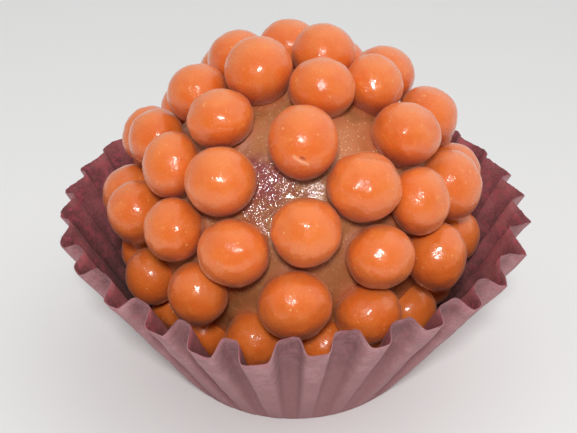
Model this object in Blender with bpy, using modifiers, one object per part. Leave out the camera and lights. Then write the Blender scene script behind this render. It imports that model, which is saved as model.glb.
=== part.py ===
"""A brigadeiro: a ball of caramel fudge rolled in crunchy caramel pearls, in a fluted paper case.

Metres, +Z up. The origin is the middle of the case's base, on the surface that it stands on.
A heading is measured round the Z axis: 0 looks back at the viewer, along -Y, and it grows towards +X.
"""

import math
import random
from bisect import bisect_right
from itertools import combinations

import bmesh
import bpy
from mathutils import Vector

MM = 0.001
COLLECTION_NAME = "Brigadeiro"

# The paper case, pressed from a flat disc.
BASE_RADIUS = 12.9 * MM
WALL_SLANT = 20.7 * MM  # along the wall, from the base's edge to the rim
WALL_LEAN = math.radians(29.5)  # the wall from upright
FRONT_SAG = math.radians(3.2)  # how much further the front leans out
SAG_HEADING, SAG_SPREAD = math.radians(-14), math.radians(13.5)
# Headings of the outward ridges that show, in degrees. The flutes round the back are even.
SHOWN_RIDGES = (-119, -108, -97, -86, -73, -61, -45, -30, -19, -8, 4, 18, 31, 44, 56, 70, 84, 94, 104, 117)
BACK_FLUTES = 10
FLUTE_FULLNESS = 2.0  # near 0 is a sine wave, and more a squarer one with round corners
FLUTE_TAKE_UP = 0.76  # depth of such a flute, where a zigzag of the same paper is 1
PAPER = 0.3 * MM
COLUMNS_PER_FLUTE = 6
WALL_ROWS = 5

# The ball in it.
CORE_RADIUS = 14.4 * MM
BALL_CENTRE = Vector((0.0, 0.0, 16.8 * MM))
CORE_SEGMENTS, CORE_RINGS = 24, 14
PEARL_SUNK = 0.25  # share of a pearl's radius that is pressed into the fudge
PEARL_FLATNESS = 0.94  # a pearl's thickness, out from the ball, over its width
PEARL_GAP = 0.1 * MM  # between one pearl and the next
CASE_GAP = 0.3 * MM  # between the pearls and the paper
FOLD_INSET = 0.5 * MM  # from the base's edge in to the cone that the paper's inner folds stay outside
PEARL_SUBDIVISIONS = 2
SETTLE_STEPS = 60

# The pearls that show from the front and above: heading and height on the ball, in degrees, and width
# in millimetres. Height is 0 at the ball's waist and 90 on top.
CROWN = ((-72, 78, 6.8), (37, 76, 6.2), (141, 73, 6.4), (-135, 63, 6.2), (87, 63, 6.0), (-177, 58, 6.4))
SHOULDER = (
    (-50, 57, 6.1), (-88, 55, 6.1), (5, 55, 6.8), (128, 46, 6.4), (64, 46, 6.5), (157, 44, 6.0),
    (-146, 42, 6.1), (-33, 40, 6.6), (28, 38, 6.8), (-84, 36, 5.8), (-59, 36, 6.1), (103, 35, 6.4),
)
FLANK = (
    (52, 28, 6.2), (4, 27, 6.5), (-105, 24, 6.2), (76, 20, 6.7), (-21, 20, 6.5), (116, 19, 5.8),
    (-46, 19, 6.0), (29, 15, 6.3), (97, 13, 6.3), (-71, 12, 6.2),
)
WAIST = (
    (-93, 5, 6.4), (55, 4, 6.4), (0, 3, 6.8), (-33, 0, 6.0), (25, -7, 6.2), (84, -7, 5.8),
    (-65, -12, 5.8), (-86, -15, 5.6),
)
BEHIND_RIM = (
    (-15, -20, 5.8), (13, -24, 5.8), (55, -25, 5.8), (78, -25, 5.6), (-45, -32, 5.8), (-69, -34, 5.6),
)

# The rest cover the back and the underside by a rule.
FILL_WIDTHS = (5.6 * MM, 6.6 * MM)
FILL_DIRECTIONS = 3000
FILL_SEED = 4
GOLDEN_ANGLE = math.pi * (3 - math.sqrt(5))

# Colour, roughness and metallic of each material.
FUDGE = ("caramel fudge", (0.33, 0.13, 0.045, 1), 0.45, 0.0)
PEARL_GLAZE = ("caramel glaze", (0.80, 0.21, 0.045, 1), 0.22, 0.0)
CASE_PAPER = ("burgundy paper", (0.19, 0.05, 0.06, 1), 0.85, 0.0)


def remove_scene_objects():
    for thing in list(bpy.data.objects):
        bpy.data.objects.remove(thing, do_unlink=True)


def new_collection(name):
    collection = bpy.data.collections.new(name)
    bpy.context.scene.collection.children.link(collection)
    return collection


def make_material(name, colour, roughness, metallic):
    material = bpy.data.materials.new(name)
    material.use_nodes = True
    shader = material.node_tree.nodes["Principled BSDF"]
    shader.inputs["Base Color"].default_value = colour
    shader.inputs["Roughness"].default_value = roughness
    shader.inputs["Metallic"].default_value = metallic
    return material


def add_object(name, mesh, material, collection):
    thing = bpy.data.objects.new(name, mesh)
    thing.data.materials.append(material)
    collection.objects.link(thing)
    return thing


def heading_of(point):
    return math.atan2(point.x, -point.y)


def direction(heading, height):
    across = math.cos(height)
    return Vector((math.sin(heading) * across, -math.cos(heading) * across, math.sin(height)))


def all_ridges():
    """The ridges' headings once round, in radians, with the first again at the end."""
    first, last = SHOWN_RIDGES[0], SHOWN_RIDGES[-1]
    step = (first + 360 - last) / BACK_FLUTES
    back = [last + step * count for count in range(1, BACK_FLUTES + 1)]
    return [math.radians(ridge) for ridge in (*SHOWN_RIDGES, *back)]


RIDGES = all_ridges()
FLUTES = len(RIDGES) - 1


def column_headings():
    for ridge, following in zip(RIDGES, RIDGES[1:]):
        for column in range(COLUMNS_PER_FLUTE):
            yield ridge + (following - ridge) * column / COLUMNS_PER_FLUTE


def flute_wave(heading):
    """1 on a ridge, -1 in a furrow."""
    while heading < RIDGES[0]:
        heading += math.tau
    flute = min(bisect_right(RIDGES, heading), FLUTES) - 1
    share = (heading - RIDGES[flute]) / (RIDGES[flute + 1] - RIDGES[flute])
    return math.tanh(FLUTE_FULLNESS * math.cos(math.tau * share)) / math.tanh(FLUTE_FULLNESS)


def flute_depth(slant):
    """Ridge to furrow. The flutes take up what the flat disc has more round it than the wall's cone has."""
    flat_round = BASE_RADIUS + slant
    wall_round = BASE_RADIUS + slant * math.sin(WALL_LEAN)
    return FLUTE_TAKE_UP * math.pi / FLUTES * math.sqrt(flat_round**2 - wall_round**2)


def wall_point(heading, slant):
    """A point in the middle of the paper's thickness. Its ridges stand out square to the leaning wall."""
    lean = WALL_LEAN + FRONT_SAG * math.exp(-(((heading - SAG_HEADING) / SAG_SPREAD) ** 2))
    out = flute_wave(heading) * flute_depth(slant) / 2
    radius = BASE_RADIUS + slant * math.sin(lean) + out * math.cos(lean)
    height = PAPER / 2 + slant * math.cos(lean) - out * math.sin(lean)
    return Vector((math.sin(heading) * radius, -math.cos(heading) * radius, height))


def make_paper_case(collection):
    """The base disc, its edge extruded up the wall row by row. Rows are closest where flutes begin."""
    sheet = bmesh.new()
    columns = FLUTES * COLUMNS_PER_FLUTE
    bmesh.ops.create_circle(sheet, cap_ends=True, segments=columns, radius=BASE_RADIUS)
    for vertex, heading in zip(sheet.verts, column_headings()):
        vertex.co = wall_point(heading, 0)
    edge = list(sheet.edges)
    for row in range(1, WALL_ROWS + 1):
        grown = bmesh.ops.extrude_edge_only(sheet, edges=edge)["geom"]
        slant = WALL_SLANT * (row / WALL_ROWS) ** 2
        for vertex in grown:
            if isinstance(vertex, bmesh.types.BMVert):
                vertex.co = wall_point(heading_of(vertex.co), slant)
        edge = [part for part in grown if isinstance(part, bmesh.types.BMEdge) and part.is_boundary]
    bmesh.ops.recalc_face_normals(sheet, faces=sheet.faces)
    mesh = bpy.data.meshes.new("paper_case")
    sheet.to_mesh(mesh)
    sheet.free()
    case = add_object("paper_case", mesh, make_material(*CASE_PAPER), collection)
    solidify = case.modifiers.new("Paper thickness", "SOLIDIFY")
    solidify.thickness = PAPER
    solidify.offset = 0
    solidify.use_even_offset = True
    case.data.shade_smooth()
    return case


def fold_cone():
    """Foot radius and lean of the cone that the furrows' inner folds keep outside."""
    rim_inset = flute_depth(WALL_SLANT) / 2 + PAPER / 2
    rim_radius = BASE_RADIUS + WALL_SLANT * math.sin(WALL_LEAN) - rim_inset * math.cos(WALL_LEAN)
    rim_height = PAPER / 2 + WALL_SLANT * math.cos(WALL_LEAN) + rim_inset * math.sin(WALL_LEAN)
    foot_radius = BASE_RADIUS - FOLD_INSET
    return foot_radius, math.atan2(rim_radius - foot_radius, rim_height)


def seat(way, radius):
    """A pearl's centre: part sunk in the core, and pushed in further where the wall or the base presses."""
    height = math.asin(max(-1.0, min(1.0, way.z)))
    reach = CORE_RADIUS + (1 - PEARL_SUNK) * radius
    foot_radius, lean = fold_cone()
    clear = radius + CASE_GAP
    slope = math.cos(height + lean)
    if slope > 0:
        to_wall = foot_radius * math.cos(lean) + BALL_CENTRE.z * math.sin(lean) - clear
        reach = min(reach, to_wall / slope)
    if way.z < 0:
        reach = min(reach, (BALL_CENTRE.z - PAPER - clear) / -way.z)
    return BALL_CENTRE + reach * way


def settle(pearls):
    """Pushes apart the pearls that would share space, and seats each again. A pearl is [centre, radius]."""
    for _ in range(SETTLE_STEPS):
        for one, other in combinations(pearls, 2):
            apart = one[0] - other[0]
            shared = one[1] + other[1] + PEARL_GAP - apart.length
            if shared > 0:
                shove = apart.normalized() * shared / 2
                one[0] = one[0] + shove
                other[0] = other[0] - shove
        for pearl in pearls:
            pearl[0] = seat((pearl[0] - BALL_CENTRE).normalized(), pearl[1])


def lay_pearls():
    """The pearls that show, then as many more as find room, from the top down the golden spiral."""
    pearls = []
    for heading, height, width in CROWN + SHOULDER + FLANK + WAIST + BEHIND_RIM:
        way = direction(math.radians(heading), math.radians(height))
        pearls.append([seat(way, width * MM / 2), width * MM / 2])
    settle(pearls)
    draw = random.Random(FILL_SEED)
    radius = draw.uniform(*FILL_WIDTHS) / 2
    for step in range(FILL_DIRECTIONS):
        way = direction(step * GOLDEN_ANGLE, math.asin(1 - 2 * (step + 0.5) / FILL_DIRECTIONS))
        centre = seat(way, radius)
        if all((centre - placed).length >= radius + other + PEARL_GAP for placed, other in pearls):
            pearls.append([centre, radius])
            radius = draw.uniform(*FILL_WIDTHS) / 2
    return pearls


def mesh_from(name, shape):
    surface = bmesh.new()
    shape(surface)
    mesh = bpy.data.meshes.new(name)
    surface.to_mesh(mesh)
    surface.free()
    return mesh


def make_ball(collection):
    """The fudge core with every pearl joined to it."""
    core_mesh = mesh_from(
        "core",
        lambda surface: bmesh.ops.create_uvsphere(
            surface, u_segments=CORE_SEGMENTS, v_segments=CORE_RINGS, radius=CORE_RADIUS
        ),
    )
    pearl_mesh = mesh_from(
        "pearl",
        lambda surface: bmesh.ops.create_icosphere(surface, subdivisions=PEARL_SUBDIVISIONS, radius=1),
    )
    ball = add_object("brigadeiro", core_mesh, make_material(*FUDGE), collection)
    ball.location = BALL_CENTRE
    pearl_mesh.materials.append(make_material(*PEARL_GLAZE))

    loose = new_collection("Loose pearls")
    for number, (centre, radius) in enumerate(lay_pearls(), 1):
        pearl = bpy.data.objects.new(f"pearl_{number:02d}", pearl_mesh)
        pearl.rotation_mode = "QUATERNION"
        pearl.rotation_quaternion = (centre - BALL_CENTRE).to_track_quat("Z", "Y")
        pearl.location = centre
        pearl.scale = (radius, radius, radius * PEARL_FLATNESS)
        loose.objects.link(pearl)

    join = ball.modifiers.new("Join pearls", "BOOLEAN")
    join.operation = "UNION"
    join.operand_type = "COLLECTION"
    join.collection = loose
    join.solver = "EXACT"
    join.material_mode = "TRANSFER"
    bpy.context.view_layer.update()
    joined = bpy.data.meshes.new_from_object(ball.evaluated_get(bpy.context.evaluated_depsgraph_get()))
    joined.name = "brigadeiro"
    ball.modifiers.remove(join)
    ball.data = joined
    for pearl in list(loose.objects):
        bpy.data.objects.remove(pearl, do_unlink=True)
    bpy.data.collections.remove(loose)
    joined.shade_smooth()
    joined.set_sharp_from_angle(angle=math.radians(50))
    return ball


remove_scene_objects()
parts = new_collection(COLLECTION_NAME)
make_paper_case(parts)
make_ball(parts)
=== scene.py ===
"""How a brigadeiro looks: a ball of fudge covered in glossy caramel pearls, in a fluted paper case.

Metres, +Z up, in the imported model's frame: the origin is the middle of the case's base.
A heading is measured round the Z axis: 0 looks back at the viewer, along -Y, and it grows towards +X.
"""

import math
import random
from bisect import bisect_right
from itertools import combinations

import bmesh
import bpy
import numpy as np
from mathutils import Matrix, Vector, noise


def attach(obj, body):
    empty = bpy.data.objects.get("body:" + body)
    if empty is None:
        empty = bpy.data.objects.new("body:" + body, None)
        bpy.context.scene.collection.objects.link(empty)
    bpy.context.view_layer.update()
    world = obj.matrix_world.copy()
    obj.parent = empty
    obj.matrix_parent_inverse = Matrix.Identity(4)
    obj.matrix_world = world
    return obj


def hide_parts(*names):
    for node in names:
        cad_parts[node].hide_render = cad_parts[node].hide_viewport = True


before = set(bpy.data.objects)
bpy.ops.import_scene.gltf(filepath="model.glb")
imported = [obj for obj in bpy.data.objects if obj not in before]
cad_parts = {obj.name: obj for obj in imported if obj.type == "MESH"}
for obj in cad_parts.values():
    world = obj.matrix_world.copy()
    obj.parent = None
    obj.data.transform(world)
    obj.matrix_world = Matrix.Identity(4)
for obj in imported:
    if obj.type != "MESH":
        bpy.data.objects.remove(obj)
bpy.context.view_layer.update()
MM = 0.001


# ---- The paper case ----
# A party case of thin dyed paper, matt like felt: deep burgundy inside and a dusty mauve outside. It is
# pressed from a flat disc between two fluted dies, and its flutes open where the ball pushes them out.

BASE_RADIUS = 12.9 * MM
WALL_SLANT = 20.7 * MM  # along the wall, from the base's edge to the rim
WALL_LEAN = math.radians(29.5)  # the wall from upright
FRONT_SAG = math.radians(3.2)  # how much further the front leans out
SAG_HEADING, SAG_SPREAD = math.radians(-14), math.radians(13.5)
# The ridges that show: heading in degrees, how far each stands out, where 1 is the usual, and the
# share of its flute that it takes.
SHOWN_RIDGES = (
    (-119, 0.70, 0.45), (-108, 1.02, 0.45), (-97, 1.13, 0.45), (-86, 0.80, 0.50), (-73, 1.00, 0.50),
    (-61, 0.85, 0.42), (-45, 0.90, 0.47), (-31.3, 1.00, 0.55), (-20.2, 1.04, 0.60), (-8.4, 1.09, 0.57),
    (5, 0.87, 0.47), (18.5, 0.94, 0.46), (32, 0.87, 0.50), (44.5, 1.10, 0.42), (55.5, 1.20, 0.40),
    (69, 1.25, 0.42), (83, 1.15, 0.50), (94, 1.06, 0.42), (105, 1.22, 0.42), (117, 0.50, 0.45),
)
BACK_FLUTES = 10
FLUTE_FULLNESS = 3.2  # near 0 is a sine wave, and more a squarer one with round corners
CREASE = 0.97  # near 1 is a zigzag with sharp folds
CREASED_HEADING = math.radians(105)  # about here the folds are sharp
CREASED_SPREAD = 0.4, 0.85  # cosines of the angles from there at which they are still round, and sharp
SLACK = 0.64  # depth of a furrow where the paper is drawn out, where 1 is the usual
SLACK_HEADING = math.radians(-98)  # about here it is drawn out
SLACK_SPREAD = 0.76, 0.95  # cosines of the angles from there at which it isn't yet, and is
BACK_RIDGE_SHARE = 0.45
FLUTE_TAKE_UP = 0.76  # depth of a flute, where a zigzag of the same paper is 1
SOLID_PAPER = 0.3 * MM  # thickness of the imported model's case
PAPER = 0.09 * MM
COLUMNS_PER_FLUTE = 32
WALL_ROWS = 28
ROW_CROWDING = 1.4  # above 1, the rows are closest at the wall's foot, where the flutes begin
BASE_RINGS = 6
BACK_JITTER = 1.4  # degrees that a back ridge may stray from even spacing
DEPTH_JITTER = 0.16
CASE_SEED = 11
# Each unevenness: its height, how close its waves are, and the fall, step and number of its octaves.
CRUMPLE = 0.13 * MM, 9, 0.8, 2.1, 3
CRUMPLE_UP_WALL = 5  # how close the crumples are up the wall
RIM_WANDER = 0.22 * MM, 7, 0.9, 2.3, 4
RIM_NICKS = 0.07 * MM, 60, 0.8, 2.3, 2


def all_ridges():
    """The ridges' headings once round, in radians, with the first again at the end."""
    shown = [ridge[0] for ridge in SHOWN_RIDGES]
    first, last = shown[0], shown[-1]
    step = (first + 360 - last) / BACK_FLUTES
    draw = random.Random(CASE_SEED)
    even = [last + step * count for count in range(1, BACK_FLUTES)]
    back = [heading + draw.uniform(-BACK_JITTER, BACK_JITTER) for heading in even]
    return [math.radians(ridge) for ridge in (*shown, *back, first + 360)]


RIDGES = all_ridges()
FLUTES = len(RIDGES) - 1
fold_draw = random.Random(CASE_SEED)
# The ridges' depths once round, then the furrows'.
FOLD_DEPTHS = [1 + fold_draw.uniform(-DEPTH_JITTER, DEPTH_JITTER) for _ in range(2 * FLUTES)]
FOLD_DEPTHS[:len(SHOWN_RIDGES)] = [ridge[1] for ridge in SHOWN_RIDGES]
RIDGE_SHARES = [ridge[2] for ridge in SHOWN_RIDGES] + [BACK_RIDGE_SHARE] * (FLUTES - len(SHOWN_RIDGES))


def flute_depth(slant):
    """Ridge to furrow. The flutes take up what a flat disc has more round it than the wall's cone."""
    flat_round = BASE_RADIUS + slant
    wall_round = BASE_RADIUS + slant * math.sin(WALL_LEAN)
    return FLUTE_TAKE_UP * math.pi / FLUTES * math.sqrt(flat_round**2 - wall_round**2)


def soft_step(value, low, high):
    """0 under low and 1 over high, with a smooth rise between them."""
    share = max(0.0, min(1.0, (value - low) / (high - low)))
    return share * share * (3 - 2 * share)


def uneven(place, kind, shift=Vector()):
    """How far one kind of unevenness stands out at this place."""
    height, closeness, *octaves = kind
    return height * noise.fractal(place * closeness + shift, *octaves)


def flute_wave(heading):
    """1 on a ridge and -1 in a furrow. Each fold is a little deeper or shallower than the next."""
    while heading < RIDGES[0]:
        heading += math.tau
    flute = min(bisect_right(RIDGES, heading), FLUTES) - 1
    share = (heading - RIDGES[flute]) / (RIDGES[flute + 1] - RIDGES[flute])
    ridge = flute if share < 0.5 else (flute + 1) % FLUTES
    from_ridge = 2 * min(share, 1 - share)
    swing = math.cos(math.pi * from_ridge ** (math.log(0.5) / math.log(RIDGE_SHARES[ridge])))
    round_fold = math.tanh(FLUTE_FULLNESS * swing) / math.tanh(FLUTE_FULLNESS)
    sharp_fold = math.asin(CREASE * swing) / math.asin(CREASE)
    creased = soft_step(math.cos(heading - CREASED_HEADING), *CREASED_SPREAD)
    wave = round_fold + (sharp_fold - round_fold) * creased
    slack = soft_step(math.cos(heading - SLACK_HEADING), *SLACK_SPREAD)
    wave += (1 - (1 - math.sin(swing * math.pi / 2)) * SLACK - wave) * slack
    if wave < 0:
        return wave * FOLD_DEPTHS[FLUTES + flute]
    return wave * FOLD_DEPTHS[ridge]


def wall_point(heading, slant):
    """A point in the middle of the paper's thickness. Its ridges stand out square to the leaning wall.

    The base holds the wall's foot in shape, and the paper strays more and more towards the rim.
    """
    lean = WALL_LEAN + FRONT_SAG * math.exp(-(((heading - SAG_HEADING) / SAG_SPREAD) ** 2))
    out = flute_wave(heading) * flute_depth(slant) / 2
    around = Vector((math.sin(heading), -math.cos(heading), 0))
    up = slant / WALL_SLANT
    out += uneven(around, CRUMPLE, Vector((0, 0, up * CRUMPLE_UP_WALL))) * min(1, up * 4)
    slant += uneven(around, RIM_WANDER) * up**3 + uneven(around, RIM_NICKS) * up**12
    radius = BASE_RADIUS + slant * math.sin(lean) + out * math.cos(lean)
    height = PAPER / 2 + slant * math.cos(lean) - out * math.sin(lean)
    return around * radius + Vector((0, 0, height))


def press_case():
    """Rings of the base from the middle out, then rows of the wall, closest where the flutes begin."""
    headings = []
    for ridge, following in zip(RIDGES, RIDGES[1:]):
        for column in range(COLUMNS_PER_FLUTE):
            headings.append(ridge + (following - ridge) * column / COLUMNS_PER_FLUTE)
    sheet = bmesh.new()
    fold = sheet.verts.layers.float.new("fold")
    middle = sheet.verts.new((0, 0, PAPER / 2))
    rows = []
    for ring in range(1, BASE_RINGS):
        radius = BASE_RADIUS * ring / BASE_RINGS
        rows.append([(math.sin(h) * radius, -math.cos(h) * radius, PAPER / 2) for h in headings])
    for row in range(WALL_ROWS + 1):
        rows.append([wall_point(h, WALL_SLANT * (row / WALL_ROWS) ** ROW_CROWDING) for h in headings])
    rows = [[sheet.verts.new(point) for point in row] for row in rows]
    for row in rows[BASE_RINGS:]:
        for vertex, heading in zip(row, headings):
            vertex[fold] = flute_wave(heading)
    for one, following in zip(rows[0], rows[0][1:] + rows[0][:1]):
        sheet.faces.new((middle, following, one))
    for low, high in zip(rows, rows[1:]):
        for column in range(len(headings)):
            after = (column + 1) % len(headings)
            sheet.faces.new((low[column], low[after], high[after], high[column]))
    bmesh.ops.recalc_face_normals(sheet, faces=sheet.faces)
    if max(sheet.faces, key=lambda face: face.calc_center_median().z).normal.z > 0:
        bmesh.ops.reverse_faces(sheet, faces=sheet.faces)
    return sheet


def add_piece(name, surface, *materials):
    """Makes a bmesh into a smooth object."""
    mesh = bpy.data.meshes.new(name)
    surface.to_mesh(mesh)
    surface.free()
    mesh.shade_smooth()
    for material in materials:
        mesh.materials.append(material)
    piece = bpy.data.objects.new(name, mesh)
    bpy.context.scene.collection.objects.link(piece)
    return piece


class Link:
    """The output of a shader node. Sums and products of such outputs add Math nodes."""

    def __init__(self, tree, output=None):
        self.tree = tree
        self.output = output

    def node(self, kind, settings=None, sockets=None, output=0):
        """Adds a node of any type: its settings first, then the values or links of its sockets."""
        made = self.tree.nodes.new("ShaderNode" + kind)
        for name, value in (settings or {}).items():
            setattr(made, name, value)
        for name, value in (sockets or {}).items():
            if isinstance(value, Link):
                self.tree.links.new(value.output, made.inputs[name])
            else:
                made.inputs[name].default_value = value
        return Link(self.tree, made.outputs[output])

    def maths(self, operation, *values):
        """Adds a Math node."""
        return self.node("Math", {"operation": operation}, dict(enumerate(values)))

    def __add__(self, other):
        return self.maths("ADD", self, other)

    __radd__ = __add__

    def __sub__(self, other):
        return self.maths("SUBTRACT", self, other)

    def __rsub__(self, other):
        return self.maths("SUBTRACT", other, self)

    def __mul__(self, other):
        return self.maths("MULTIPLY", self, other)

    __rmul__ = __mul__

    def step(self, low, high):
        """0 under low and 1 over high, with a smooth rise between them."""
        ranges = {1: low, 2: high, 3: 0.0, 4: 1.0}
        return self.node("MapRange", {"interpolation_type": "SMOOTHSTEP"}, {0: self, **ranges})

    def over(self, below, above):
        """Two colours mixed by this mask, from below at 0 to above at 1."""
        colours = {6: below, 7: above}
        for place, colour in colours.items():
            if not isinstance(colour, Link):
                colours[place] = (*colour, 1)
        return self.node("Mix", {"data_type": "RGBA"}, {0: self, **colours}, output=2)

    def grain(self, size, detail=3.0, roughness=0.55, distortion=0.0):
        """Noise from 0 to 1 through the solid, with lumps of about this size."""
        sockets = {"Vector": self, "Scale": 1 / size, "Detail": detail, "Roughness": roughness}
        return self.node("TexNoise", None, {**sockets, "Distortion": distortion})

    def bump(self, depth, strength=1.0):
        """A skin that rises by this height, from 0 to the depth."""
        sockets = {"Strength": strength, "Distance": depth, "Height": self}
        return self.node("Bump", None, sockets, output="Normal")

    def layer(self, name):
        """What one of the mesh's own layers holds at this place."""
        return self.node("Attribute", {"attribute_name": name}, output="Fac")

    def dots(self, spacing):
        """Scattered dots about this far apart: 0 in the middle of each, and more away from it."""
        return self.node("TexVoronoi", None, {"Vector": self, "Scale": 1 / spacing}, output="Distance")

    def part(self, axis):
        """How far this place is along an axis."""
        return self.node("SeparateXYZ", None, {"Vector": self}, output=axis)

    def into(self, shader, socket):
        """Leads this to a shader's socket."""
        self.tree.links.new(self.output, shader.inputs[socket])


def new_material(name, **constants):
    """A material, its Principled shader, and the place on the piece that its patterns start from."""
    material = bpy.data.materials.new(name)
    material.use_nodes = True
    shader = material.node_tree.nodes["Principled BSDF"]
    for socket, value in constants.items():
        shader.inputs[socket.replace("_", " ")].default_value = value
    place = Link(material.node_tree).node("TexCoord", output="Object")
    return material, shader, place


DYE_CLOUDS, DYE_BLOTCHES, FIBRES = 1.8 * MM, 0.8 * MM, 0.22 * MM  # size across
FAT_AND_SHADE_RISE = 6 * MM, 16 * MM  # the heights between which the fat-soaked paper ends, which inside the case is painted shade too
FAT_AND_SHADE_STRAY = 2 * MM  # how far that end strays up and down


def dyed_paper(name, deep, pale, blush, soaked_and_shaded, lit_fold_side):
    """Fibres that took the dye unevenly and drank fat low down, with painted shade low inside the case.
    The folds that stand out towards this side are painted paler and the furrows between them darker, as
    painted light and shade.
    """
    paper, shader, place = new_material(
        name, Sheen_Weight=0.04, Sheen_Roughness=0.5, Specular_IOR_Level=0.2
    )
    fold = place.layer("fold")
    clouds = place.grain(DYE_CLOUDS, 2.0).step(0.36, 0.66)
    felt = place.grain(FIBRES, 1.0, 0.5).step(0.30, 0.70)
    # Painted light and shade on the flutes: the folds that stand out towards this side are paler, and
    # the recessed furrows darker.
    fold_light_and_shade = (fold * lit_fold_side).step(-0.8, 0.8)
    dye = (clouds * 0.3 + felt * 0.25 + fold_light_and_shade * 0.45).over(deep, pale)
    blotches = place.grain(DYE_BLOTCHES, 2.0, 0.6).step(0.50, 0.66)
    dye = (blotches * 0.55).over(dye, blush)
    height = place.part("Z")
    # Low down the paper drank fat. Inside the case this dark colour is also painted shade near the
    # pearls and the base.
    fat_and_low_shade = 1 - (height + (clouds - 0.5) * FAT_AND_SHADE_STRAY).step(*FAT_AND_SHADE_RISE)
    (fat_and_low_shade * (0.95 - felt * 0.35)).over(dye, soaked_and_shaded).into(shader, "Base Color")
    (0.78 + felt * 0.14).into(shader, "Roughness")
    felt.bump(0.02 * MM, strength=0.3).into(shader, "Normal")
    return paper


outside = dyed_paper(
    "paper outside", deep=(0.205, 0.086, 0.090), pale=(0.48, 0.252, 0.264), blush=(0.40, 0.150, 0.178),
    soaked_and_shaded=(0.365, 0.176, 0.184), lit_fold_side=1,
)
inside = dyed_paper(
    "paper inside", deep=(0.120, 0.037, 0.042), pale=(0.39, 0.119, 0.128), blush=(0.43, 0.080, 0.108),
    soaked_and_shaded=(0.085, 0.038, 0.032), lit_fold_side=-1,
)
cut_edge = dyed_paper(
    "paper cut edge", deep=(0.190, 0.078, 0.084), pale=(0.42, 0.210, 0.220), blush=(0.40, 0.140, 0.165),
    soaked_and_shaded=(0.110, 0.038, 0.034), lit_fold_side=1,
)
case = add_piece("pressed_paper_case", press_case(), outside, inside, cut_edge)
solidify = case.modifiers.new("Paper thickness", "SOLIDIFY")
solidify.thickness = PAPER
solidify.offset = 0
solidify.use_even_offset = True
solidify.material_offset = 1
solidify.material_offset_rim = 2
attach(case, "root")
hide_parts("paper_case")


# ---- The fudge ball ----
# Condensed milk and caramel cooked to a soft fudge and rolled by hand. The pearls are pressed into it,
# and it rises a little round each; there the pearls' reddish bounce light and contact shade are painted
# into its colour. It has a sandy grain, and a wet patch at the front where it was touched.

CORE_RADIUS = 14.4 * MM
BALL_CENTRE = Vector((0.0, 0.0, 16.8 * MM))
PEARL_SUNK = 0.25  # share of a pearl's radius that is pressed into the fudge
PEARL_GAP = 0.1 * MM
CASE_GAP = 0.3 * MM
FOLD_INSET = 0.5 * MM
SETTLE_STEPS = 60

# The pearls that show: heading and height on the ball in degrees, width in millimetres, and how tall
# each looks for its width. Height is 0 at the ball's waist and 90 on top.
CROWN = (
    (-72, 78, 6.8, 1.08), (37, 76, 6.2, 0.95), (141, 73, 6.4, 1.0), (-135, 63, 6.2, 1.0),
    (87, 63, 6.0, 1.02), (-177, 58, 6.4, 1.0),
)
SHOULDER = (
    (-50, 57, 6.1, 0.92), (-88, 55, 6.1, 1.0), (5, 55, 6.8, 1.07), (128, 46, 6.4, 1.0),
    (64, 46, 6.5, 0.91), (157, 44, 6.0, 1.0), (-146, 42, 6.1, 1.0), (-33, 40, 6.6, 0.96),
    (28, 38, 6.8, 0.92), (-84, 36, 5.8, 1.0), (-59, 36, 6.1, 1.12), (103, 35, 6.4, 1.0),
)
FLANK = (
    (52, 28, 6.2, 1.09), (4, 27, 6.5, 0.99), (-105, 24, 6.2, 1.0), (76, 20, 6.7, 1.05),
    (-21, 20, 6.5, 0.93), (116, 19, 5.8, 1.0), (-46, 19, 6.0, 1.03), (29, 15, 6.3, 0.94),
    (97, 13, 6.3, 1.0), (-71, 12, 6.2, 1.03),
)
WAIST = (
    (-93, 5, 6.4, 1.0), (55, 4, 6.4, 1.13), (0, 3, 6.8, 0.95), (-33, 0, 6.0, 1.03),
    (25, -7, 6.2, 0.92), (84, -7, 5.8, 1.0), (-65, -12, 5.8, 1.04), (-86, -15, 5.6, 1.0),
)
BEHIND_RIM = (
    (-15, -20, 5.8, 1.0), (13, -24, 5.8, 1.0), (55, -25, 5.8, 0.95), (78, -25, 5.6, 1.0),
    (-45, -32, 5.8, 1.0), (-69, -34, 5.6, 1.0),
)
SHOWN_PEARLS = CROWN + SHOULDER + FLANK + WAIST + BEHIND_RIM
FILL_WIDTHS = (5.6 * MM, 6.6 * MM)  # of the others
FILL_DIRECTIONS = 3000
FILL_SEED = 4
GOLDEN_ANGLE = math.pi * (3 - math.sqrt(5))

FUDGE_SUBDIVISIONS = 6
FINE_BACK, FINE_FOOT = 0.5, -0.4  # shares of the radius, behind and below which the skin stays coarser
FINE_REACH = 5.5 * MM  # round the wet patch, where the fudge is modelled grain by grain
LIP = 0.28 * MM  # how far the fudge rises round a pearl
LIP_SPREAD = 0.55 * MM
# Each patch: the heading and height of its middle, and how far from there, in degrees, it starts to end
# and has ended.
WET_PATCH, WET_ENDS = (math.radians(-2), math.radians(39)), (15, 24)
SANDY_PATCH, SANDY_ENDS = (math.radians(41), math.radians(55)), (8, 17)
JUICY_PATCH, JUICY_ENDS = (math.radians(-22), math.radians(44.5)), (5, 14)
FAINT_SAND, FAINT_SAND_ENDS = 0.35, (40, 60)  # all round the wet patch
PRESSED_FLAT = 0.55  # how far the wet patch is pressed from the ball's round towards a plane
PRESSED_REACH = math.radians(19)
# Unevenness, given as the paper's is.
RAGGED_EDGE = 5, 9, 0.8, 2.0, 3  # of a patch, in degrees
LUMPS = 0.16 * MM, 5, 0.9, 2.0, 2
GRAINS = 0.012 * MM, 60, 0.7, 2.0, 2
PUDDLES = 0.045 * MM, 14, 0.8, 2.0, 2  # in the wet patch, as the beads are
BEADS = 0.016 * MM, 52, 0.7, 2.1, 1
# How wet, sandy and juicy the fudge is, and how near a pearl, where the pearls' reddish bounce light
# and contact shade are painted in.
FUDGE_LAYERS = "wet", "sandy", "juicy", "pearl_bounce"


def direction(heading, height):
    """The way out from the ball's centre, or from a pearl's, at this heading and height."""
    across = math.cos(height)
    return Vector((math.sin(heading) * across, -math.cos(heading) * across, math.sin(height)))


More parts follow.
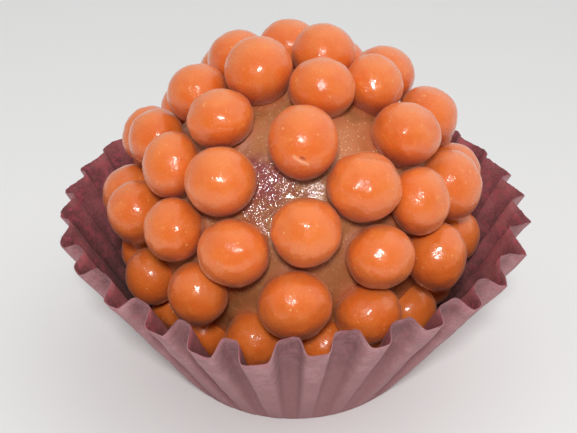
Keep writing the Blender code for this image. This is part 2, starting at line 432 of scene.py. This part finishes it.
def fold_cone():
    """Foot radius and lean of the cone that the furrows' inner folds keep outside."""
    rim_inset = flute_depth(WALL_SLANT) / 2 + SOLID_PAPER / 2
    rim_radius = BASE_RADIUS + WALL_SLANT * math.sin(WALL_LEAN) - rim_inset * math.cos(WALL_LEAN)
    rim_height = SOLID_PAPER / 2 + WALL_SLANT * math.cos(WALL_LEAN) + rim_inset * math.sin(WALL_LEAN)
    foot_radius = BASE_RADIUS - FOLD_INSET
    return foot_radius, math.atan2(rim_radius - foot_radius, rim_height)


def seat(way, radius):
    """A pearl's centre: sunk a little in the core, or further where the case's wall or base is near."""
    height = math.asin(max(-1.0, min(1.0, way.z)))
    reach = CORE_RADIUS + (1 - PEARL_SUNK) * radius
    foot_radius, lean = fold_cone()
    clear = radius + CASE_GAP
    slope = math.cos(height + lean)
    if slope > 0:
        to_wall = foot_radius * math.cos(lean) + BALL_CENTRE.z * math.sin(lean) - clear
        reach = min(reach, to_wall / slope)
    if way.z < 0:
        reach = min(reach, (BALL_CENTRE.z - SOLID_PAPER - clear) / -way.z)
    return BALL_CENTRE + reach * way


def settle(pearls):
    """Pushes apart the pearls that would share space, and seats each again.

    A pearl is [centre, radius].
    """
    for _ in range(SETTLE_STEPS):
        for one, other in combinations(pearls, 2):
            apart = one[0] - other[0]
            shared = one[1] + other[1] + PEARL_GAP - apart.length
            if shared > 0:
                shove = apart.normalized() * shared / 2
                one[0] = one[0] + shove
                other[0] = other[0] - shove
        for pearl in pearls:
            pearl[0] = seat((pearl[0] - BALL_CENTRE).normalized(), pearl[1])


def lay_pearls():
    """The pearls that show, then as many more as find room, from the top down the golden spiral."""
    pearls = []
    for heading, height, width, _ in SHOWN_PEARLS:
        way = direction(math.radians(heading), math.radians(height))
        pearls.append([seat(way, width * MM / 2), width * MM / 2])
    settle(pearls)
    draw = random.Random(FILL_SEED)
    radius = draw.uniform(*FILL_WIDTHS) / 2
    for step in range(FILL_DIRECTIONS):
        way = direction(step * GOLDEN_ANGLE, math.asin(1 - 2 * (step + 0.5) / FILL_DIRECTIONS))
        centre = seat(way, radius)
        if all((centre - placed).length >= radius + other + PEARL_GAP for placed, other in pearls):
            pearls.append([centre, radius])
            radius = draw.uniform(*FILL_WIDTHS) / 2
    return pearls


PEARLS = lay_pearls()


def patch_share(way, patch, near, far):
    """1 in the middle of a patch of the ball's skin and 0 outside it, with a ragged edge."""
    gap = math.degrees(way.angle(direction(*patch)))
    return 1 - soft_step(gap + uneven(way, RAGGED_EDGE), near, far)


def finer(surface, near):
    """Splits the faces whose middle is near enough into four."""
    edges = {edge for face in surface.faces if near(face.calc_center_median()) for edge in face.edges}
    bmesh.ops.subdivide_edges(surface, edges=list(edges), cuts=1, use_grid_fill=True)
    bmesh.ops.triangulate(surface, faces=[face for face in surface.faces if len(face.verts) > 3])


def roll_fudge():
    """A ball whose skin swells round the pearls and has lumps, grains and the wet patch's beads."""
    surface = bmesh.new()
    bmesh.ops.create_icosphere(surface, subdivisions=FUDGE_SUBDIVISIONS, radius=1)
    wet_way, sandy_way = direction(*WET_PATCH), direction(*SANDY_PATCH)
    wet_reach = FINE_REACH / CORE_RADIUS
    sandy_reach = wet_reach / 2
    finer(surface, lambda middle: middle.y < FINE_BACK and middle.z > FINE_FOOT)
    for _ in range(2):
        finer(surface, lambda middle: (middle - wet_way).length < wet_reach
              or (middle - sandy_way).length < sandy_reach)
    ways = [vertex.co.normalized() for vertex in surface.verts]
    points = np.array([way * CORE_RADIUS + BALL_CENTRE for way in ways])
    lip = np.zeros(len(points))
    for centre, radius in PEARLS:
        gap = np.linalg.norm(points - np.array(centre), axis=1) - radius
        lip = np.maximum(lip, np.exp(-((np.maximum(gap, 0) / LIP_SPREAD) ** 2)))
    wet, sandy, juicy, pearl_bounce = (surface.verts.layers.float.new(name) for name in FUDGE_LAYERS)
    for vertex, way, swell in zip(surface.verts, ways, lip):
        vertex[wet] = patch_share(way, WET_PATCH, *WET_ENDS)
        faint_sand = FAINT_SAND * patch_share(way, WET_PATCH, *FAINT_SAND_ENDS)
        vertex[sandy] = max(patch_share(way, SANDY_PATCH, *SANDY_ENDS), faint_sand)
        vertex[juicy] = patch_share(way, JUICY_PATCH, *JUICY_ENDS)
        vertex[pearl_bounce] = swell
        dry = uneven(way, LUMPS) + uneven(way, GRAINS)
        drops = (uneven(way, PUDDLES) + uneven(way, BEADS)) * vertex[wet]
        sunk = 1 - math.cos(PRESSED_REACH) / max(way.dot(wet_way), math.cos(PRESSED_REACH))
        pressed = PRESSED_FLAT * CORE_RADIUS * sunk
        vertex.co = way * (CORE_RADIUS - pressed + LIP * swell**2 + dry + drops)
    bmesh.ops.translate(surface, verts=surface.verts, vec=BALL_CENTRE)
    return surface


# The sizes of what is in the fudge's pattern, and its colours.
BROWN_CLOUDS, STAINS, SPARK_PATCHES = 4.0 * MM, 2.2 * MM, 0.9 * MM
BROWN_GRAIN, SPARKS, WET_BEADS, SAND = 0.35 * MM, 0.34 * MM, 0.17 * MM, 0.15 * MM
DARK_BROWN, LIGHT_BROWN, PALE_GRAIN = (0.36, 0.132, 0.043), (0.44, 0.178, 0.063), (0.62, 0.34, 0.16)
# Sandy brown, and the pale of the sugar grains, painted as painted glints.
SANDY_BROWN, PAINTED_SUGAR_GLINT = (0.62, 0.205, 0.068), (1.0, 0.72, 0.42)
WET_BROWN, WET_RED, DARK_RED = (0.43, 0.185, 0.058), (0.35, 0.115, 0.060), (0.27, 0.050, 0.062)
# Painted reddish bounce light and contact shade from the pearls, on the fudge round each one.
PAINTED_PEARL_BOUNCE = (0.50, 0.105, 0.028)


def fudge_finish():
    """Cloudy, grainy brown, with sugar grains painted pale as painted glints where it is sandy, and the
    pearls' reddish bounce light and contact shade painted in round each pearl.
    """
    fudge, shader, place = new_material(
        "caramel fudge", IOR=1.6, Coat_IOR=1.6, Coat_Roughness=0.06, Subsurface_Weight=0.12,
        Subsurface_Scale=1.0 * MM, Subsurface_Radius=(1.0, 0.45, 0.2),
    )
    wet, sandy, juicy, pearl_bounce = (place.layer(name) for name in FUDGE_LAYERS)
    clouds = place.grain(BROWN_CLOUDS, 3.0).step(0.3, 0.7)
    grain = place.grain(BROWN_GRAIN, 4.0, 0.65)
    brown = clouds.over(DARK_BROWN, LIGHT_BROWN)
    brown = (grain.step(0.45, 0.75) * 0.35).over(brown, PALE_GRAIN)
    stain = place.grain(STAINS, 2.0).step(0.42, 0.62).over(WET_BROWN, WET_RED)
    brown = (sandy * 0.8).over(brown, SANDY_BROWN)
    brown = (wet * 0.85).over(brown, stain)
    brown = (juicy * 0.85).over(brown, DARK_RED)
    # Painted bounce light and contact shade: the fudge reddens round each pearl.
    brown = (pearl_bounce * 0.6).over(brown, PAINTED_PEARL_BOUNCE)
    # Sugar grains, painted pale as painted glints, and also smoother and bumped.
    sugar_glints = 1 - place.dots(SPARKS).step(0.14, 0.30)
    sugar_glints = sugar_glints * sandy * place.grain(SPARK_PATCHES, 1.0).step(0.40, 0.58)
    sugar_glints.over(brown, PAINTED_SUGAR_GLINT).into(shader, "Base Color")
    (0.46 - wet * 0.42 - sugar_glints * 0.3 + grain * 0.06).into(shader, "Roughness")
    (wet * 0.2).into(shader, "Coat Weight")
    beads = place.grain(WET_BEADS, 0.0)
    sand = place.grain(SAND, 2.0, 0.5)
    height = beads * wet * 1.4 + sand * (0.7 - wet * 0.7) + sugar_glints * 0.9
    height.bump(0.05 * MM).into(shader, "Normal")
    return fudge


fudge = add_piece("fudge_ball", roll_fudge(), fudge_finish())
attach(fudge, "root")
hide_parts("brigadeiro")


# ---- The caramel pearls ----
# Puffed cereal balls tumbled in caramel-coloured chocolate and polished, so each is a little oval and
# has its own dents and pimples under the glaze. They are pressed by hand, one by one, into the fudge.

PEARL_FLATNESS = 0.94  # a pearl's thickness, out from the ball, over its width
PEARL_FIT = 0.995  # its size over that of its seat, for a hair's gap between neighbours
VIEWER_HEIGHT = math.radians(33.6)
VIEWER_WAY = direction(0, VIEWER_HEIGHT)
VIEWER_UP = direction(math.pi, math.pi / 2 - VIEWER_HEIGHT)
FINE_FACING = 0.45  # cosine of the angle from the viewer within which a pearl counts as shown
SHOWN_SUBDIVISIONS, HIDDEN_SUBDIVISIONS = 5, 4
SPLIT_PEARL = 8  # place in the list of the pearl whose glaze has cracked, low on its front
CRACK_WAY = (math.radians(-2.6), math.radians(7))  # heading and height from the pearl's own middle
CRACK_TILT = math.radians(-26)  # from level, as the viewer sees it
CRACK_LENGTH, CRACK_GAPE = 0.62, 0.05  # shares of the pearl's radius
CRACK_LIP, CRACK_DEPTH = 0.012, 0.05  # also such shares: how far its lip is raised, and how deep it is
# From 0 in the crack's middle to 1 at its tips: where its lip and its split fade out.
LIP_ENDS, SPLIT_ENDS = (0.6, 1.0), (0.15, 0.32)
LIP_BELOW, LIP_SLANT = 1.6, 0.8  # how many gapes the lip is below the split, and more to its right
SPLIT_SHIFT, SPLIT_NARROWING = 0.05, 1.3
DENTED_PEARL, DENT_WAY = 29, (math.radians(-1), math.radians(38))
DENT_WIDTH, DENT_DEPTH = 0.14, 0.028  # shares of the pearl's radius
SPECKED_PEARL, SPECK_WAY = 36, (math.radians(10), math.radians(43))
SPECK_WIDTH = 0.032  # share of the pearl's radius
OVAL_SPREAD = 0.06
# Unevenness, given as the paper's is, but in shares of the pearl's radius.
PEARL_LUMPS = 0.040, 1.3, 0.9, 2.0, 2
PEARL_DENTS = 0.011, 3.2, 0.8, 2.1, 3
LUMPY_SPREAD = 0.6, 1.4  # how lumpy a pearl is, where 1 is the usual
PATTERN_REACH = 50  # how far off in the noise a pearl's lumps may be taken from
SHADE_DOWNWARDS, SHADE_TOWARDS_FUDGE = 0.4, 0.1  # how much more painted shade a pearl has underneath, and towards the fudge
# A pearl's tint, its painted shading from painted light on top to painted shade underneath, and how
# much of a crack's lip, or of a split or dark speck, is there.
PEARL_LAYERS = "tint", "painted_shading", "lip", "split"
PEARL_SEED = 23


def crack_round(skin, crack, along):
    """How much of the crack's raised lip, and of its open split, is at this place on a pearl's skin."""
    offset = skin - crack
    if offset.length > CRACK_LENGTH:
        return 0.0, 0.0
    run = offset.dot(along) / CRACK_LENGTH * 2
    rise = offset.dot(crack.cross(along)) / CRACK_GAPE
    lip = 1 - soft_step(abs(run), *LIP_ENDS)
    lip *= math.exp(-((rise + LIP_BELOW + LIP_SLANT * run) ** 2))
    split = 1 - soft_step(abs(run - SPLIT_SHIFT), *SPLIT_ENDS)
    split *= math.exp(-((rise * SPLIT_NARROWING) ** 2))
    return lip, split


def finer_round(surface, flaw, reach):
    """Makes a new pearl's skin finer round a flaw, and gives back all its vertices.

    It still has a radius of 1, so its vertices are told from the placed pearls' by their distance.
    """
    for _ in range(2):
        finer(surface, lambda middle: (middle - flaw).length < reach)
    return [vertex for vertex in surface.verts if vertex.co.length > 0.5]


def shape_pearl(surface, number, centre, radius, tall, draw):
    """Adds one pearl: a ball made oval, flattened against the fudge, and given low lumps and dents."""
    way = (centre - BALL_CENTRE).normalized()
    subdivisions = SHOWN_SUBDIVISIONS if way.dot(VIEWER_WAY) > FINE_FACING else HIDDEN_SUBDIVISIONS
    added = bmesh.ops.create_icosphere(surface, subdivisions=subdivisions, radius=1)["verts"]
    crack = direction(*CRACK_WAY) if number == SPLIT_PEARL else None
    dent = direction(*DENT_WAY) if number == DENTED_PEARL else None
    speck = direction(*SPECK_WAY) if number == SPECKED_PEARL else None
    if crack:
        along = Vector((math.cos(CRACK_TILT), 0, 0)) + VIEWER_UP * math.sin(CRACK_TILT)
        along = (along - crack * along.dot(crack)).normalized()
        added = finer_round(surface, crack, CRACK_LENGTH * 0.7)
    if speck:
        added = finer_round(surface, speck, SPECK_WIDTH * 3)
    layers = surface.verts.layers.float
    tint_layer, painted_shading_layer, lip_layer, split_layer = (layers[name] for name in PEARL_LAYERS)
    if tall is None:
        tall = 1 + draw.uniform(-OVAL_SPREAD, OVAL_SPREAD)
        long_axis = direction(draw.uniform(0, math.tau), draw.uniform(-1, 1))
    else:
        long_axis = VIEWER_UP
    shift = Vector([draw.uniform(-PATTERN_REACH, PATTERN_REACH) for _ in range(3)])
    lumpy = draw.uniform(*LUMPY_SPREAD)
    stretch = math.sqrt(tall)
    tint = draw.uniform(0, 1)
    for vertex in added:
        skin = vertex.co.normalized()
        reach = 1 + lumpy * (uneven(skin, PEARL_LUMPS, shift) + uneven(skin, PEARL_DENTS, shift))
        if crack:
            vertex[lip_layer], vertex[split_layer] = crack_round(skin, crack, along)
            reach += CRACK_LIP * vertex[lip_layer] - CRACK_DEPTH * vertex[split_layer]
        if dent:
            reach -= DENT_DEPTH * math.exp(-(((skin - dent).length / DENT_WIDTH) ** 2))
        if speck:
            vertex[split_layer] = math.exp(-(((skin - speck).length / SPECK_WIDTH) ** 2))
        spot = skin * reach
        spot = spot / stretch + long_axis * spot.dot(long_axis) * (stretch - 1 / stretch)
        spot -= way * spot.dot(way) * (1 - PEARL_FLATNESS)
        vertex.co = centre + spot * radius * PEARL_FIT
        vertex[tint_layer] = tint
        vertex[painted_shading_layer] = 0.5 - SHADE_DOWNWARDS * skin.z - SHADE_TOWARDS_FUDGE * skin.dot(way)


def press_pearls():
    """All the pearls on their seats. Those in the photograph are as tall for their width as there."""
    surface = bmesh.new()
    for name in PEARL_LAYERS:
        surface.verts.layers.float.new(name)
    draw = random.Random(PEARL_SEED)
    shown_tallness = [shape[3] for shape in SHOWN_PEARLS]
    for number, (centre, radius) in enumerate(PEARLS):
        tall = shown_tallness[number] if number < len(shown_tallness) else None
        shape_pearl(surface, number, centre, radius, tall, draw)
    return surface


# The sizes of what is in the glaze's pattern, and its colours.
GLAZE_CLOUDS, PITTED_PATCHES, PIMPLE_PATCHES = 2.4 * MM, 1.4 * MM, 2.0 * MM
PIMPLES, PIMPLE_WARP, PEEL, SPECKS, PITS = 0.85 * MM, 0.7 * MM, 0.9 * MM, 0.5 * MM, 0.17 * MM
CARAMELS, CLOUDY_CARAMEL = ((0.755, 0.145, 0.017), (0.775, 0.165, 0.023)), (0.81, 0.208, 0.039)
PALE_SPECK, PALE_PIMPLE_GLINT, PALE_LIP = (0.98, 0.38, 0.12), (0.98, 0.46, 0.16), (0.98, 0.50, 0.28)
# Painted shade underneath a pearl, painted light on its top, and the dark of an open split.
PAINTED_UNDERSIDE_SHADE, PAINTED_TOP_LIGHT, OPEN_SPLIT = (0.36, 0.060, 0.022), (0.92, 0.29, 0.075), (0.40, 0.060, 0.006)


def glaze_finish():
    """Polished caramel, painted paler on top as painted light and darker and redder underneath as
    painted shade, with pits, specks, and pimples painted pale partly as painted glints.
    """
    glaze, shader, place = new_material(
        "caramel glaze", Coat_Weight=0.45, Coat_IOR=1.45, Coat_Roughness=0.4, Subsurface_Weight=0.15,
        Subsurface_Scale=1.0 * MM, Subsurface_Radius=(1.0, 0.3, 0.1), IOR=1.5,
        Sheen_Weight=0.12, Sheen_Roughness=0.5, Sheen_Tint=(1.0, 0.80, 0.66, 1.0),
    )
    tint, painted_shading, lip, split = (place.layer(name) for name in PEARL_LAYERS)
    clouds = place.grain(GLAZE_CLOUDS, 3.0, 0.6, 0.4)
    specks = place.grain(SPECKS, 3.0, 0.6)
    from_pimple = place.dots(PIMPLES) + place.grain(PIMPLE_WARP, 1.0) * 0.3
    pimples_and_glints = (1 - from_pimple.step(0.18, 0.30)) * place.grain(PIMPLE_PATCHES, 1.0).step(0.40, 0.56)
    caramel = tint.over(*CARAMELS)
    caramel = (clouds.step(0.38, 0.66) * 0.6).over(caramel, CLOUDY_CARAMEL)
    caramel = (specks.step(0.60, 0.78) * 0.4).over(caramel, PALE_SPECK)
    # Pimples in the glaze, painted pale partly as painted glints; they are bumped as well.
    caramel = (pimples_and_glints * 0.7).over(caramel, PALE_PIMPLE_GLINT)
    # Painted shade makes a pearl darker and redder underneath and towards the fudge, and painted light
    # makes it paler on top.
    caramel = (painted_shading.step(0.35, 0.80) * 0.95).over(caramel, PAINTED_UNDERSIDE_SHADE)
    caramel = (0.35 - painted_shading.step(0.03, 0.14) * 0.35).over(caramel, PAINTED_TOP_LIGHT)
    caramel = (lip * 0.6).over(caramel, PALE_LIP)
    split.over(caramel, OPEN_SPLIT).into(shader, "Base Color")
    pits = place.grain(PITS, 1.0, 0.5)
    (0.05 + clouds * 0.05 + pits.step(0.48, 0.66) * 0.22).into(shader, "Roughness")
    pitted = place.grain(PITTED_PATCHES, 2.0, 0.5).step(0.42, 0.62)
    peel = place.grain(PEEL, 2.0, 0.5)
    height = peel * 0.35 + pits * (0.10 + pitted * 0.20) + pimples_and_glints * 0.15
    height.bump(0.15 * MM).into(shader, "Normal")
    return glaze


pearls = add_piece("caramel_pearls", press_pearls(), glaze_finish())
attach(pearls, "root")
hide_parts("brigadeiro")


# ---- The floor, the light and the camera ----
# A plain pale table in a white room, lit softly from all round, with one small bright lamp above the
# camera that gives each pearl its glint. The camera looks down at the sweet at the photograph's angle.

FLOOR_SIDE, FLOOR_SQUARES = 3.0, 8
TABLE_CLOUDS, TABLE_GREYS = 60 * MM, ((0.79, 0.79, 0.785), (0.82, 0.82, 0.815))
TABLE_GLOW = 0.03  # light that the translucent table top lets through from below
LAMP_WIDTH = 36 * MM
LAMP_FAR = 260 * MM
LAMP_HEIGHT = math.radians(42)
LAMP_HEADING = math.radians(-1)
LAMP_WATTS = 0.405
ROOM, DIM_SIDE = 0.84, 0.14  # brightness of the room's ceiling, and of the room on the camera's side
LOW_WALLS = 0.14  # how much dimmer the walls are than the ceiling
BRIGHT_RIGHT = 0.6  # how much brighter the right side is than the left
# Where the room's light changes, from -1 at one end of the room to 1 at the other.
BACK_TO_FRONT, WALLS_TO_CEILING, LEFT_TO_RIGHT = (-0.1, 0.9), (0.0, 0.8), (-0.9, 0.9)
CAMERA_FAR = 130 * MM
AIM = Vector((-0.57 * MM, 0.0, 16.2 * MM))
LENS, SENSOR = 78.36, 36.0  # mm


def table_finish():
    """Satin laminate, very faintly cloudy."""
    table, shader, place = new_material(
        "pale table", Specular_IOR_Level=0.2, Emission_Color=(1, 1, 1, 1), Emission_Strength=TABLE_GLOW
    )
    clouds = place.grain(TABLE_CLOUDS, 2.0)
    clouds.over(*TABLE_GREYS).into(shader, "Base Color")
    (0.6 + clouds * 0.1).into(shader, "Roughness")
    return table


table_top = bmesh.new()
squares = {"x_segments": FLOOR_SQUARES, "y_segments": FLOOR_SQUARES}
bmesh.ops.create_grid(table_top, size=FLOOR_SIDE / 2, **squares)
floor = add_piece("floor", table_top, table_finish())

lamp = bpy.data.lights.new("lamp", "AREA")
lamp.shape, lamp.size, lamp.energy = "DISK", LAMP_WIDTH, LAMP_WATTS
lamp_holder = bpy.data.objects.new("lamp", lamp)
lamp_way = direction(LAMP_HEADING, LAMP_HEIGHT)
lamp_holder.location = BALL_CENTRE + lamp_way * LAMP_FAR
lamp_holder.rotation_euler = lamp_way.to_track_quat("Z", "Y").to_euler()
bpy.context.scene.collection.objects.link(lamp_holder)

room = bpy.data.worlds.new("white room")
room.use_nodes = True
way = Link(room.node_tree).node("TexCoord", output="Generated")
to_front = {0: way, 1: direction(0, 0)}
frontward = way.node("VectorMath", {"operation": "DOT_PRODUCT"}, to_front, output="Value")
brightness = ROOM - frontward.step(*BACK_TO_FRONT) * (ROOM - DIM_SIDE)
brightness *= 1 - (1 - way.part("Z").step(*WALLS_TO_CEILING)) * LOW_WALLS
brightness *= 1 - BRIGHT_RIGHT / 2 + way.part("X").step(*LEFT_TO_RIGHT) * BRIGHT_RIGHT
backdrop = room.node_tree.nodes["Background"]
backdrop.inputs["Color"].default_value = (1, 1, 1, 1)
brightness.into(backdrop, "Strength")
bpy.context.scene.world = room
bpy.context.scene.view_settings.view_transform = "Standard"

camera = bpy.data.cameras.new("camera")
camera.lens, camera.sensor_width = LENS, SENSOR
camera.clip_start = 1 * MM
seat_of_camera = bpy.data.objects.new("camera", camera)
seat_of_camera.location = AIM + CAMERA_FAR * VIEWER_WAY
seat_of_camera.rotation_euler = (math.pi / 2 - VIEWER_HEIGHT, 0, 0)
bpy.context.scene.collection.objects.link(seat_of_camera)
bpy.context.scene.camera = seat_of_camera
